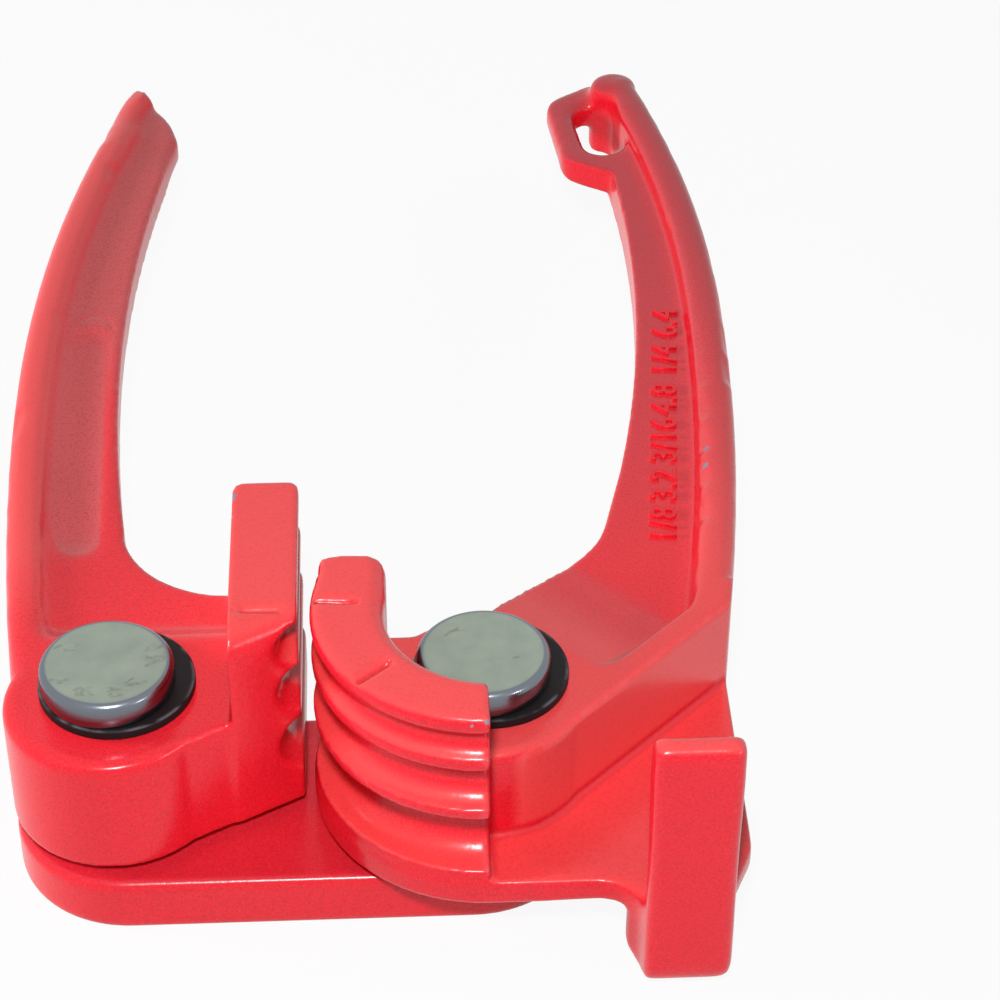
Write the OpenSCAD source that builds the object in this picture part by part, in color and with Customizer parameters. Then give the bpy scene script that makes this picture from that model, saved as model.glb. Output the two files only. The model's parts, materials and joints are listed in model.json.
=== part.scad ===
// Three-groove pipe bender: two cast handles pivot on a link plate, one carries a grooved
// quarter-round former and a hook post, the other a grooved straight shoe.
// The pose is the end of a 90 degree bend. All sizes are millimetres, angles are degrees.

/* [Pivots] */
// Distance between the two pivot pins
pivot_span = 35.2; // [34.6:0.1:40]
// Diameter of a pin's shank
pin_d = 8; // [6:0.1:9]
// Diameter of a pin's head
pin_head_d = 12.6; // [11:0.1:14]
// Height of a pin's head
pin_head_h = 3; // [2:0.1:4]
// Rounding of the head's top edge
pin_head_edge = 0.7; // [0.2:0.1:1.2]
// Diameter of the riveted end in the link plate
pin_tail_d = 10.4; // [9.4:0.1:12]
// Depth of the riveted end
pin_tail_h = 1.2; // [0.5:0.1:2]
// Diameter of the washers above and below each handle
washer_d = 14.8; // [14:0.1:16]
// Thickness of a washer
washer_t = 1; // [0.6:0.1:1.6]

/* [Fits] */
// Radial clearance of a handle on its pin
running_clearance = 0.05; // [0.02:0.01:0.1]
// Radial clearance of a pin in the link plate
seat_clearance = 0.02; // [0.01:0.01:0.05]
// Radial clearance of a washer on its pin
washer_clearance = 0.15; // [0.1:0.05:0.3]
// Sideways rest of the loose top washers off their pins
top_washer_x = 0.7; // [0:0.1:1]
// Rest of the loose top washers off their pins, along the handles
top_washer_y = 1; // [0:0.1:1.2]
// Play of a handle along its pin, above and below
axial_play = 0.1; // [0.05:0.05:0.3]
// Clearance of a pipe across its groove
pipe_clearance = 0.1; // [0.05:0.05:0.3]

/* [Link plate] */
// Width of the plate, which is also the diameter of its round ends
link_w = 22.6; // [20:0.2:26]
// Reach of the plate's ends past the pins' axes
link_reach = 10; // [9:0.1:12]
// Thickness of the plate
link_t = 6; // [4:0.5:8]
// Rounding of the plate's edges
link_edge = 0.8; // [0.5:0.1:1.5]

/* [Pipe grooves] */
// Diameter of the pipe in the top groove
small_pipe_d = 3.2; // [2.8:0.05:3.6]
// Diameter of the pipe in the middle groove
middle_pipe_d = 4.76; // [4.2:0.05:5.2]
// Diameter of the pipe in the bottom groove
large_pipe_d = 6.35; // [5.8:0.05:6.8]
// Bend radius of the small pipe, to its centre line
small_bend_r = 16.4; // [16:0.1:16.8]
// Bend radius of the middle pipe, to its centre line
middle_bend_r = 16.3; // [15.9:0.1:16.7]
// Bend radius of the large pipe, to its centre line
large_bend_r = 15.7; // [15.3:0.1:16]
// Depth of the shoe's grooves, which all end level
shoe_groove_depth = 1.6; // [1.2:0.1:1.9]
// Widening of the shoe's grooves at the entry
entry_flare = 0.9; // [0.3:0.1:1.1]
// Length of that widening
entry_l = 5; // [3:0.5:7]
// Height of the land between two grooves
land_t = 1.4; // [1:0.1:2]
// Height of the rim above the top groove
rim_t = 1.8; // [1.2:0.1:2.6]
// Height of the lip below the bottom groove
lip_t = 1.4; // [0.8:0.1:2]

/* [Former] */
// Radius of the former's lands
former_r = 16.1; // [15.8:0.1:16.3]
// Radial thickness of the former's wall above the hub
former_wall = 5.8; // [5:0.1:6.4]
// Offset of the hollow inside the former's wall from the pivot
former_hollow_x = 1.1; // [0.5:0.1:1.1]
// Length of the former past its 90 degree mark
former_overrun = 7.3; // [4:0.1:8]
// Rounding of the former's far corners
former_corner = 1.6; // [1:0.1:2.4]
// Rounding of the former's outer top edge
former_edge = 0.8; // [0.4:0.1:1.2]
// Rounding of the former's inner top edge
former_inner_edge = 1.5; // [0.6:0.1:2]
// Diameter of the former handle's hub
former_hub_d = 20; // [18.5:0.1:20.6]
// Height of both hubs
hub_h = 12.9; // [11.5:0.1:14]
// Step of each slanted wall behind its hub's side
wall_step = 0.25; // [0.15:0.05:0.5]
// Rounding of both hubs' top edges
hub_edge = 1; // [0.4:0.1:1.6]
// Thickness of the flange under the former
flange_t = 2.8; // [2:0.1:3.4]
// Distance of the flange's rim past the former's lands
flange_margin = 0.2; // [0:0.05:0.4]
// Distance of the flange's right edge from the pivot
flange_side = 24.7; // [23.6:0.1:25.4]
// Distance from the pivot to the straight back of the handle's shoulder
back_d = 6.4; // [5:0.1:7]
// Reach of the shoulder along the handle
shoulder_l = 36; // [32:0.5:40]
// Slope of its straight back
back_angle = 48; // [45:0.5:50]
// Rounding of the pocket's corner at the rib
pocket_corner = 3; // [2:0.1:4]
// Width of the raised band along the hub's slanted wall
band_w = 2.5; // [2:0.1:3.5]
// Width of the angle marks
mark_w = 1.1; // [0.6:0.1:1.6]
// Turn of the angle marks against the former's quadrant
mark_turn = 4; // [0:0.5:6]
// Depth of the angle marks
mark_depth = 0.45; // [0.2:0.05:0.6]

/* [Hook post] */
// Distance of the post's left face from the former's pivot
post_x = 13.9; // [13:0.1:15.5]
// Width of the post
post_w = 8.3; // [6:0.1:9]
// Thickness of the post
post_t = 2.7; // [2.2:0.1:3.5]
// Gap between the post and the large pipe
post_gap = 0.15; // [0.05:0.05:0.5]
// Height of the post's top above the former's top
post_rise = 0.8; // [0:0.1:2]
// Height of the post's bottom above the plate's underside
post_base = 0.6; // [0.3:0.1:4]
// Fillet between the post and the flange
post_fillet = 4; // [2:0.5:4.5]
// Width that the post gains below the flange
post_foot = 1.3; // [0:0.1:2]
// Rounding of the post's edges
post_edge = 1.1; // [0.6:0.1:1.3]
// Rounding of the post's two lower corners
post_low_edge = 2.4; // [1.2:0.1:3]

/* [Shoe] */
// Gap between the shoe's face and the former's lands
land_gap = 1.1; // [0.7:0.1:1.6]
// Thickness of the shoe
shoe_t = 6.4; // [5:0.1:7.4]
// Distance of the shoe's far end past the pivot line
shoe_l = 18.9; // [15:0.1:20]
// Rounding of the shoe's far corners
shoe_corner = 1.2; // [0.8:0.1:2.4]
// Rounding of the shoe's top edge at the entry
shoe_nose = 2.6; // [1:0.1:3.4]
// Diameter of the shoe handle's hub
shoe_hub_d = 20.2; // [19:0.1:21]
// Angle of the wall from the hub to the shoe's entry
shoe_wall_angle = 29; // [26:0.5:31]
// Radius of the hollow between the shoe and its handle
throat_r = 11.4; // [9:0.1:12.5]
// Distance of that hollow's centre past the pivot line
throat_y = 27.5; // [24:0.1:29]

/* [Handles] */
// Width of the rib along each handle's outer edge
rib_w = 4; // [3.2:0.1:5]
// Rounding of the rib's top edges
rib_edge = 1.5; // [0.8:0.1:1.5]
// Rounding of the rib's lower edges
rib_foot_edge = 1; // [0.5:0.1:1.5]
// Thickness of a handle's web
web_t = 5; // [4:0.1:6]
// Depth of the rib below the web
rib_drop = 1.6; // [0.8:0.1:3]
// Depth of the former handle's pocket
pocket_depth = 2.5; // [1.5:0.1:3.5]
// Length of the pocket's sloping floor
pocket_slope_l = 12; // [9:0.5:14]
// Where the shoe handle's pocket starts, along the handle
shoe_pocket_from = 8; // [7.4:0.1:8.6]
// Depth of the shoe handle's pocket
shoe_pocket_depth = 1.6; // [1:0.1:2]
// Length of that pocket's sloping start
shoe_pocket_slope_l = 3; // [2:0.5:5]
// Rounding of that pocket's corner at the rib
shoe_pocket_corner = 5.5; // [4:0.1:6]
// Depth of the finger recess in that pocket
recess_depth = 0.6; // [0.3:0.1:1]
// Distance of the recess's middle from the widest place of the handle's outer edge
recess_in = 8.1; // [7.6:0.1:8.4]
// Where the recess's near end is centred, along the handle
recess_from = 25.2; // [24.5:0.1:28]
// Length of the recess between its end centres
recess_l = 34.6; // [28:0.1:38]
// Width of the finger recess
recess_w = 4.6; // [3.5:0.1:4.8]
// Lean of the recess against the handle's length
recess_lean = 1.8; // [0:0.1:2.4]

/* [Handle curves] */
// Widest place of the former handle's outer edge, sideways from its pivot
former_arm_x = 29.2; // [28:0.1:31]
// Widest place of the former handle's outer edge, along the handle
former_arm_y = 64.6; // [60:0.5:68]
// Width of the former handle there
former_arm_w = 9.1; // [8.4:0.1:10.5]
// How much nearer the tip the former handle's inner edge is widest
former_in_shift = 11.4; // [9:0.1:14]
// Curve radius of the former handle's outer edge near the hub
former_low_r = 320; // [290:5:360]
// Curve radius of the former handle's outer edge near the tip
former_up_r = 188; // [170:1:205]
// Curve radius of the former handle's inner edge
former_in_r = 190; // [175:1:205]
// Reach of the former handle's tip
former_reach = 115; // [111:0.1:117]
// Widest place of the shoe handle's outer edge, sideways from its pivot
shoe_arm_x = 13; // [12.4:0.05:14]
// Widest place of the shoe handle's outer edge, along the handle
shoe_arm_y = 51; // [47:0.5:54]
// Width of the shoe handle there
shoe_arm_w = 10.75; // [10:0.05:11.5]
// How much nearer the tip the shoe handle's inner edge is widest
shoe_in_shift = 6.2; // [4:0.1:9]
// Curve radius of the shoe handle's outer edge near the hub
shoe_low_r = 343; // [320:1:370]
// Curve radius of the shoe handle's outer edge near the tip
shoe_up_r = 210; // [195:1:230]
// Curve radius of the shoe handle's inner edge
shoe_in_r = 232; // [215:1:250]
// Reach of the shoe handle's tip
shoe_reach = 113; // [106:0.1:114]
// Where the shoe handle's rib begins to run straight to its tip
shoe_straight_from = 104; // [100:1:105]
// Radius of the nose that rounds the shoe handle's end
shoe_nose_r = 22; // [18:0.5:26]
// Slope of the nose at the tip of the shoe handle's rib
shoe_nose_slope = 45; // [40:1:50]
// Radius of the former handle's round tip
former_tip_r = 2.9; // [2.6:0.1:3.4]
// Rounding of that tip's top edge
former_tip_edge = 0.9; // [0.6:0.1:1]
// Step of that tip against the rib
end_step = 0.3; // [0.2:0.05:0.4]

/* [Hanging eye] */
// Width of the eye's hole
eye_w = 5; // [4.4:0.1:5.4]
// Length of the eye's hole between its end centres
eye_l = 6.4; // [5:0.1:7]
// Thickness of the eye
eye_t = 3.2; // [2.6:0.1:4]
// Wall along the eye's free side and near end
eye_wall = 3.1; // [2.4:0.1:4]
// Wall at the eye's far end
eye_end_wall = 4.4; // [3.6:0.1:5.2]
// Rounding of the eye's outer corners
eye_corner = 3.2; // [2:0.1:3.6]
// Slope of the eye's far end
eye_top_slope = 40; // [30:1:50]
// Slope of the eye's near end
eye_foot_slope = 31; // [20:1:40]
// Distance of the hole's near end centre before the handle's tip
eye_back = 14.6; // [14:0.1:15.2]
// Distance of that centre past the handle's inner edge
eye_shift = 0.3; // [-0.5:0.1:0.8]
// Lean of the eye towards the other handle
eye_lean = 6; // [2:1:9]

/* [Hidden] */
$fn = 96;
fine_fn = 720;
// Overlap of cuts, the step that keeps a round end inside its neighbour's faces, and a cutter's size
past = 1;
hair = 0.05;
wide = 60;
red = "#e02a35";
zinc = "#a9b3a8";
black = "#26272a";

// Heights above the plate's underside
casting_base = link_t + washer_t + axial_play;
hub_top = casting_base + hub_h;
head_base = hub_top + axial_play + washer_t;
flange_top = casting_base + flange_t;
large_z = flange_top + lip_t + large_pipe_d / 2;
middle_z = large_z + large_pipe_d / 2 + land_t + middle_pipe_d / 2;
small_z = middle_z + middle_pipe_d / 2 + land_t + small_pipe_d / 2;
former_top = small_z + small_pipe_d / 2 + rim_t;
pocket_floor = hub_top - pocket_depth;

// Places seen from the pivots
former_at = [pivot_span / 2, 0, 0];
shoe_at = [-pivot_span / 2, 0, 0];
link_half = pivot_span / 2 + link_reach - link_w / 2;
hub_r = former_hub_d / 2;
shoe_hub_r = shoe_hub_d / 2;
hollow_side = former_r - former_wall - former_hollow_x - wall_step;
wall_d = hub_r - wall_step;
shoe_wall_d = shoe_hub_r - wall_step;
band_end = former_arm_x - wall_d * sqrt(2) - rib_w;
flange_r = former_r + flange_margin;
shoe_face = pivot_span - former_r - land_gap;
post_inner = large_bend_r + large_pipe_d / 2 + post_gap;
post_front = post_inner + post_t;
post_right = post_x + post_w;

// Each groove: pipe diameter, height of its axis and bend radius
GROOVES = [
    [small_pipe_d, small_z, small_bend_r],
    [middle_pipe_d, middle_z, middle_bend_r],
    [large_pipe_d, large_z, large_bend_r]
];

// Each arm: widest place, the two outer radii, the width, how much further the inner edge
// is widest, and the inner radius
former_arm = [
    former_arm_x, former_arm_y, former_low_r, former_up_r, former_arm_w,
    former_in_shift, former_in_r
];
shoe_arm = [
    shoe_arm_x, shoe_arm_y, shoe_low_r, shoe_up_r, shoe_arm_w,
    shoe_in_shift, shoe_in_r
];

function unit(v) = v / norm(v);
function arc_x(top, along, r, at) = top - r + sqrt(r * r - (at - along) * (at - along));
function outer_x(a, at) = arc_x(a[0], a[1], at < a[1] ? a[2] : a[3], at);
function inner_x(a, at) = arc_x(a[0] - a[4], a[1] + a[5], a[6], at);

// A flat outline through corners given as [x, y, rounding], counter-clockwise, with true arcs
module outline(corners) {
    n = len(corners);
    xy = [for (c = corners) [c[0], c[1]]];
    back = [for (i = [0:n - 1]) unit(xy[(i + n - 1) % n] - xy[i])];
    ahead = [for (i = [0:n - 1]) unit(xy[(i + 1) % n] - xy[i])];
    half = [for (i = [0:n - 1]) acos(back[i] * ahead[i]) / 2];
    run = [for (i = [0:n - 1]) corners[i][2] / tan(half[i])];
    centre = [for (i = [0:n - 1]) xy[i] + unit(back[i] + ahead[i]) * corners[i][2] / sin(half[i])];
    turn = [for (i = [0:n - 1]) ahead[i][0] * back[i][1] - ahead[i][1] * back[i][0]];
    difference() {
        union() {
            polygon([for (i = [0:n - 1]) each corners[i][2] == 0 ? [xy[i]]
                : [xy[i] + back[i] * run[i], xy[i] + ahead[i] * run[i]]]);
            for (i = [0:n - 1])
                if (corners[i][2] > 0 && turn[i] > 0)
                    translate(centre[i]) circle(r = corners[i][2]);
        }
        for (i = [0:n - 1])
            if (corners[i][2] > 0 && turn[i] < 0)
                translate(centre[i]) circle(r = corners[i][2]);
    }
}

// A disc or ring about the Z axis with a rounded top edge
module turned(inner, outer, base, top, edge) {
    rotate_extrude() {
        translate([inner, base]) square([outer - inner, top - base - edge]);
        translate([inner, base]) square([outer - inner - edge, top - base]);
        translate([outer - edge, top - edge]) circle(r = edge);
    }
}

// Section of a rib, its outer side on x = 0
module rib_section(w, base, top) {
    translate([-w, base + rib_foot_edge])
        square([w, top - base - rib_foot_edge - rib_edge]);
    translate([rib_foot_edge - w, base])
        square([w - 2 * rib_foot_edge, top - base - rib_edge]);
    translate([rib_edge - w, base + rib_foot_edge])
        square([w - 2 * rib_edge, top - base - rib_foot_edge]);
    for (x = [rib_foot_edge - w, -rib_foot_edge])
        translate([x, base + rib_foot_edge]) circle(r = rib_foot_edge);
    for (x = [rib_edge - w, -rib_edge])
        translate([x, top - rib_edge]) circle(r = rib_edge);
}

// Round end of a rib, a step wider and lower than the rib itself
module rib_end(a, at, r, edge, base, top) {
    translate(rib_mid(a, at)) rotate(rib_angle(a, at))
        translate([rib_w / 2 - r + end_step, 0])
            turned(0, r, base - end_step, top - end_step, edge);
}

// Middle of a rib at a given place of its outer edge
function rib_angle(a, at) = asin((at - a[1]) / (at < a[1] ? a[2] : a[3]));
function rib_mid(a, at) =
    let (r = at < a[1] ? a[2] : a[3], t = rib_angle(a, at))
    [a[0] - r + (r - rib_w / 2) * cos(t), a[1] + (r - rib_w / 2) * sin(t)];

// Rib along an arm's outer edge, swept round the edge's two arcs
module rib(a, from, to, base, top) {
    translate([a[0] - a[2], a[1]]) mirror([0, 1])
        rotate_extrude(angle = -rib_angle(a, from), $fn = fine_fn)
            translate([a[2], 0]) rib_section(rib_w, base, top);
    translate([a[0] - a[3], a[1]])
        rotate_extrude(angle = rib_angle(a, to), $fn = fine_fn)
            translate([a[3], 0]) rib_section(rib_w, base, top);
}

// Straight end of a rib, a step smaller than the arc before it and long enough to be cut at a slant
module straight_rib(a, from, to, base, top) {
    l = to - from + rib_w;
    translate([outer_x(a, from), from]) rotate(rib_angle(a, from)) translate([-wall_step, l, 0])
        rotate([90, 0, 0]) linear_extrude(l + past)
            rib_section(rib_w - 2 * wall_step, base + wall_step, top - wall_step);
}

// Plan of an arm's web from the middle of its rib to its inner edge
module arm_plan(a, from, to) {
    difference() {
        union() {
            intersection() {
                translate([a[0] - a[2], a[1]]) circle(r = a[2] - rib_w / 2, $fn = fine_fn);
                translate([a[0] - wide, from]) square([2 * wide, a[1] - from]);
            }
            intersection() {
                translate([a[0] - a[3], a[1]]) circle(r = a[3] - rib_w / 2, $fn = fine_fn);
                translate([a[0] - wide, a[1]]) square([2 * wide, to - a[1]]);
            }
        }
        translate([a[0] - a[4] - a[6], a[1] + a[5]]) circle(r = a[6], $fn = fine_fn);
    }
}

// Link plate: a bar with round ends, rounded edges and two riveted holes
module link_plate() color(red) {
    difference() {
        union() {
            for (side = [-1, 1])
                translate([side * link_half, 0, 0]) rotate_extrude() link_section();
            rotate([90, 0, 90])
                linear_extrude(2 * link_half, center = true) {
                    link_section();
                    mirror([1, 0]) link_section();
                }
        }
        for (at = [former_at, shoe_at])
            translate(at) pin_hole();
    }
}

module link_section() {
    r = link_w / 2;
    translate([0, link_edge]) square([r, link_t - 2 * link_edge]);
    square([r - link_edge, link_t]);
    for (z = [link_edge, link_t - link_edge])
        translate([r - link_edge, z]) circle(r = link_edge);
}

module pin_hole() {
    r = pin_d / 2 + seat_clearance;
    translate([0, 0, -past]) cylinder(r = r, h = link_t + 2 * past);
    cylinder(r1 = pin_tail_d / 2 + seat_clearance, r2 = r, h = pin_tail_h);
}

// Pivot pin: a flat button head, a plain shank and an end riveted flush with the plate
module pivot_pin() color(zinc) {
    cylinder(d = pin_d, h = head_base + pin_head_h / 2);
    cylinder(r1 = pin_tail_d / 2, r2 = pin_d / 2, h = pin_tail_h);
    turned(0, pin_head_d / 2, head_base, head_base + pin_head_h, pin_head_edge);
}

module washer(base, bore) color(black) {
    translate([0, 0, base]) difference() {
        cylinder(d = washer_d, h = washer_t);
        translate([0, 0, -past]) cylinder(r = bore, h = washer_t + 2 * past);
    }
}

// Washer between the link plate and a hub
module thrust_washer() {
    washer(link_t, pin_d / 2 + washer_clearance);
}

// Washer under a pin's head, loose on the pin and resting against it on one side
module top_washer() {
    rest = [top_washer_x, top_washer_y, 0];
    translate(rest) washer(hub_top + axial_play, pin_d / 2 + norm(rest) + washer_clearance);
}

module pivot_bore() {
    translate([0, 0, casting_base - past])
        cylinder(r = pin_d / 2 + running_clearance, h = hub_h + 2 * past);
}

// Former: a turned quadrant with three round grooves, open at the end where the pipe leaves
module former() {
    difference() {
        intersection() {
            turned(0, former_r, casting_base, former_top, former_edge);
            translate([-wide, -wide, 0]) cube([wide, wide + former_overrun, wide]);
        }
        for (g = GROOVES)
            former_groove(g[0] + pipe_clearance, g[1], g[2]);
        former_hollow();
        linear_extrude(wide) former_corner_cut(sqrt(former_r * former_r - former_overrun * former_overrun), 1);
        translate([0, 0, hub_top]) linear_extrude(wide) former_corner_cut(hollow_side, -1);
        for (turn = [0, 45])
            rotate(180 - mark_turn + turn) former_mark();
    }
}

// Waste outside the blunt corner at the former's far end, on the rim or towards the hub
module former_corner_cut(side, way) {
    corner = [-side, former_overrun];
    reach = former_corner + past;
    translate(corner) polygon([
        [way * former_corner, past],
        [way * former_corner, 0],
        [way * former_corner / 4, -former_corner / 4],
        [-way * reach / 4, -reach],
        [-way * reach, -reach],
        [-way * reach, past]
    ]);
}

// Half section of the hollow inside the former's wall, with the rounding of the wall's inner edge
module hollow_section(side) {
    edge_z = former_top - former_inner_edge;
    translate([0, hub_top]) square([side, former_top - hub_top + past]);
    difference() {
        translate([0, edge_z]) square([side + former_inner_edge, former_inner_edge + past]);
        translate([side + former_inner_edge, edge_z]) circle(r = former_inner_edge);
    }
}

// Hollow inside the former's wall: round about its own middle, then straight to the former's far end
module former_hollow() {
    translate([former_hollow_x, 0, 0]) rotate_extrude() hollow_section(former_r - former_wall);
    translate([0, wide, 0]) rotate([90, 0, 0]) linear_extrude(wide) mirror([1, 0]) hollow_section(hollow_side);
}

module former_groove(d, z, bend) {
    rotate_extrude() {
        translate([bend, z]) circle(d = d);
        translate([bend, z - d / 2]) square([d, d]);
    }
}

module former_mark() {
    translate([former_r - former_wall + former_inner_edge, 0, former_top + mark_w / 2 - mark_depth])
        rotate([0, 90, 0]) cylinder(d = mark_w, h = former_wall - former_inner_edge - former_edge / 2);
}

// Flange under the former, widened to carry the hook post
module flange() {
    translate([0, 0, casting_base]) linear_extrude(flange_t) {
        intersection() {
            circle(r = flange_r);
            translate([-wide, -wide]) square([wide, wide + former_overrun]);
        }
        outline([
            [0, -flange_r, 0],
            [post_x, -flange_r, post_fillet],
            [post_x, -post_front, post_edge],
            [post_right, -post_front, post_edge],
            [post_right, -post_inner + post_edge, 0],
            [flange_side, -flange_r + post_fillet, post_fillet],
            [flange_side, flange_side - wall_d * sqrt(2), 0],
            [0, 0, 0]
        ]);
    }
}

// Hook post that holds the pipe's straight end, rounded on every side
module post() {
    top = former_top + post_rise;
    intersection() {
        linear_extrude(top) outline([
            [post_x - post_fillet, -flange_r, 0],
            [post_x, -flange_r, post_fillet],
            [post_x, -post_front, post_edge],
            [post_right, -post_front, post_edge],
            [post_right, -post_inner + post_edge, 0],
            [post_x - post_fillet, -flange_r + post_edge, 0]
        ]);
        translate([post_x - post_fillet, 0, 0]) rotate([90, 0, 90])
            linear_extrude(post_w + post_fillet) outline([
                [-post_front, post_base, post_t],
                [-flange_r + post_edge, post_base, 0],
                [-flange_r + post_edge, flange_top, 0],
                [-post_inner, flange_top, 0],
                [-post_inner, top, post_edge],
                [-post_front, top, post_edge]
            ]);
        rotate([90, 0, 0]) linear_extrude(wide) outline([
            [post_x - post_foot, post_base, post_low_edge],
            [post_right, post_base, post_low_edge],
            [post_right, top, post_edge],
            [post_x, top, post_edge],
            [post_x, flange_top, 0],
            [post_x - post_fillet, flange_top, 0],
            [post_x - post_fillet, casting_base, 0],
            [post_x - post_foot, casting_base, 0]
        ]);
    }
}

// Slanted wall from the hub to the handle's outer edge
module former_band() {
    translate([0, 0, casting_base]) linear_extrude(hub_h) intersection() {
        rotate(45) translate([0, -wall_d]) square([wide, band_w]);
        translate([former_arm_x - former_low_r, former_arm_y]) circle(r = former_low_r, $fn = fine_fn);
    }
}

// Web of the former handle where it spreads to the hub
module former_shoulder() {
    start = back_d * [-sin(back_angle), cos(back_angle)];
    meet = inner_meet(start, shoulder_l, 4);
    wall = (wall_d - band_w / 2) / sqrt(2);
    outline([
        [0, -wall, 0],
        [wall, -wall, 0],
        [outer_x(former_arm, band_end) - rib_w / 2, band_end, 0],
        [outer_x(former_arm, shoulder_l) - rib_w / 2, shoulder_l, 0],
        [inner_x(former_arm, shoulder_l), shoulder_l, 0],
        [meet[0], meet[1], throat_r],
        [start[0], start[1], 0]
    ]);
}

// Where the shoulder's straight back reaches the arm's inner edge, closed in on step by step
function inner_meet(start, at, steps) =
    let (x = inner_x(former_arm, at), y = start[1] + (x - start[0]) * tan(back_angle))
    steps == 0 ? [x, y] : inner_meet(start, y, steps - 1);

// Pocket in the former handle: its floor slopes down from the hub and then runs level
module former_pocket() {
    line = (wall_d - band_w - wall_step) * sqrt(2);
    far = outer_x(former_arm, band_end) - rib_w - line;
    near = hub_r - hub_edge;
    intersection() {
        translate([0, 0, pocket_floor]) linear_extrude(wide) outline([
            [line, 0, hub_r / 2],
            [line + far, far, pocket_corner],
            [line + far + rib_w, far + 3 * rib_w, 0],
            [2 * wide, 2 * wide, 0],
            [-wide, 2 * wide, 0],
            [-wide, line + wide, 0]
        ]);
        rotate([90, 0, 45]) translate([0, 0, -wide]) linear_extrude(3 * wide) polygon([
            [near, hub_top],
            [near + pocket_slope_l, pocket_floor],
            [3 * wide, pocket_floor],
            [3 * wide, hub_top + past],
            [near, hub_top + past]
        ]);
    }
}

// Eye at the former handle's tip
eye_near_y = former_reach - eye_back;
eye_near = [inner_x(former_arm, eye_near_y) + eye_shift, eye_near_y];
eye_far = eye_near + eye_l * [-sin(eye_lean), cos(eye_lean)];

// Where two lines meet, each given by a point at a distance and a direction from a centre
function line_point(centre, away, d) = centre + d * [cos(away), sin(away)];
function lines_meet(p, a, q, b) =
    let (u = [-sin(a), cos(a)], v = [-sin(b), cos(b)], d = q - p,
        t = (d[0] * v[1] - d[1] * v[0]) / (u[0] * v[1] - u[1] * v[0])) p + t * u;

module eye_plan() {
    side = line_point(eye_near, 180 + eye_lean, eye_w / 2 + eye_wall);
    top = line_point(eye_far, 90 + eye_top_slope, eye_w / 2 + eye_end_wall);
    foot = line_point(eye_near, 270 - eye_foot_slope, eye_w / 2 + eye_wall);
    rim = former_reach - former_tip_r;
    upper = lines_meet(side, 180 + eye_lean, top, 90 + eye_top_slope);
    lower = lines_meet(side, 180 + eye_lean, foot, 270 - eye_foot_slope);
    start = inner_x(former_arm, foot[1]) + rib_w / 2;
    below = lines_meet(foot, 270 - eye_foot_slope, [start, foot[1]], 0);
    outline([
        [below[0], below[1], 0],
        [outer_x(former_arm, rim) - rib_w / 2, rim, 0],
        [outer_x(former_arm, former_reach) - rib_w, former_reach, former_tip_r / 2],
        [upper[0], upper[1], eye_corner],
        [lower[0], lower[1], eye_corner]
    ]);
}

module eye_hole() {
    translate(eye_near) rotate(eye_lean) {
        circle(d = eye_w);
        translate([-eye_w / 2, 0]) square([eye_w, eye_l]);
        translate([0, eye_l]) circle(d = eye_w);
    }
}

// Former handle: hub, former, flange, post, ribbed arm and eye in one casting
module former_handle() color(red) {
    web_base = pocket_floor - web_t;
    rib_base = web_base - rib_drop;
    tip_at = former_reach - former_tip_r;
    translate(former_at) difference() {
        union() {
            turned(0, hub_r, casting_base, hub_top, hub_edge);
            former();
            flange();
            post();
            former_band();
            difference() {
                translate([0, 0, web_base]) linear_extrude(hub_top - web_base) {
                    arm_plan(former_arm, shoulder_l - past, eye_near_y);
                    former_shoulder();
                }
                former_pocket();
            }
            translate([0, 0, pocket_floor - hair - eye_t]) linear_extrude(eye_t) eye_plan();
            rib(former_arm, band_end, tip_at, rib_base, hub_top);
            rib_end(former_arm, tip_at - end_step, former_tip_r, former_tip_edge, rib_base, hub_top);
        }
        pivot_bore();
        linear_extrude(wide) eye_hole();
    }
}

// Shoe: a straight block with three grooves, its entry on the slanted wall
module shoe() {
    foot = shoe_face - shoe_t;
    wall = shoe_wall_d / cos(shoe_wall_angle);
    slope = tan(shoe_wall_angle);
    difference() {
        intersection() {
            translate([0, 0, casting_base]) linear_extrude(former_top - casting_base) outline([
                [foot, foot * slope - wall, 0],
                [shoe_face, shoe_face * slope - wall, 0],
                [shoe_face, shoe_l, shoe_corner],
                [foot, shoe_l, shoe_corner]
            ]);
            rotate([90, 0, 90 + shoe_wall_angle]) translate([0, 0, -wide]) linear_extrude(2 * wide)
                outline([
                    [-shoe_wall_d, 0, 0],
                    [wide, 0, 0],
                    [wide, former_top, 0],
                    [-shoe_wall_d, former_top, shoe_nose]
                ]);
        }
        for (g = GROOVES)
            shoe_groove(g[0] + pipe_clearance, g[1]);
        translate([foot + mark_w, 0, former_top + mark_w / 2 - mark_depth])
            rotate([0, 90, 0]) cylinder(d = mark_w, h = shoe_t - 2 * mark_w);
    }
}

module shoe_groove(d, z) {
    entry = shoe_face * tan(shoe_wall_angle) - shoe_wall_d / cos(shoe_wall_angle) - entry_l / 2;
    translate([shoe_face - shoe_groove_depth + d / 2, 0, z]) rotate([-90, 0, 0]) {
        translate([0, 0, -wide]) cylinder(d = d, h = 2 * wide);
        translate([0, 0, entry])
            cylinder(r1 = d / 2 + entry_flare, r2 = d / 2, h = entry_l);
        translate([0, -d / 2, -wide]) cube([d, d, 2 * wide]);
    }
}

// Body between the shoe handle's hub and its shoe
module shoe_bridge() {
    d = shoe_wall_d - wall_step;
    side = shoe_face - shoe_t / 2;
    translate([0, 0, casting_base]) linear_extrude(hub_h) polygon([
        [d * sin(shoe_wall_angle), -d * cos(shoe_wall_angle)],
        [side, side * tan(shoe_wall_angle) - d / cos(shoe_wall_angle)],
        [side, shoe_pocket_from - past],
        [0, shoe_pocket_from - past],
        [0, 0]
    ]);
}

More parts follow.
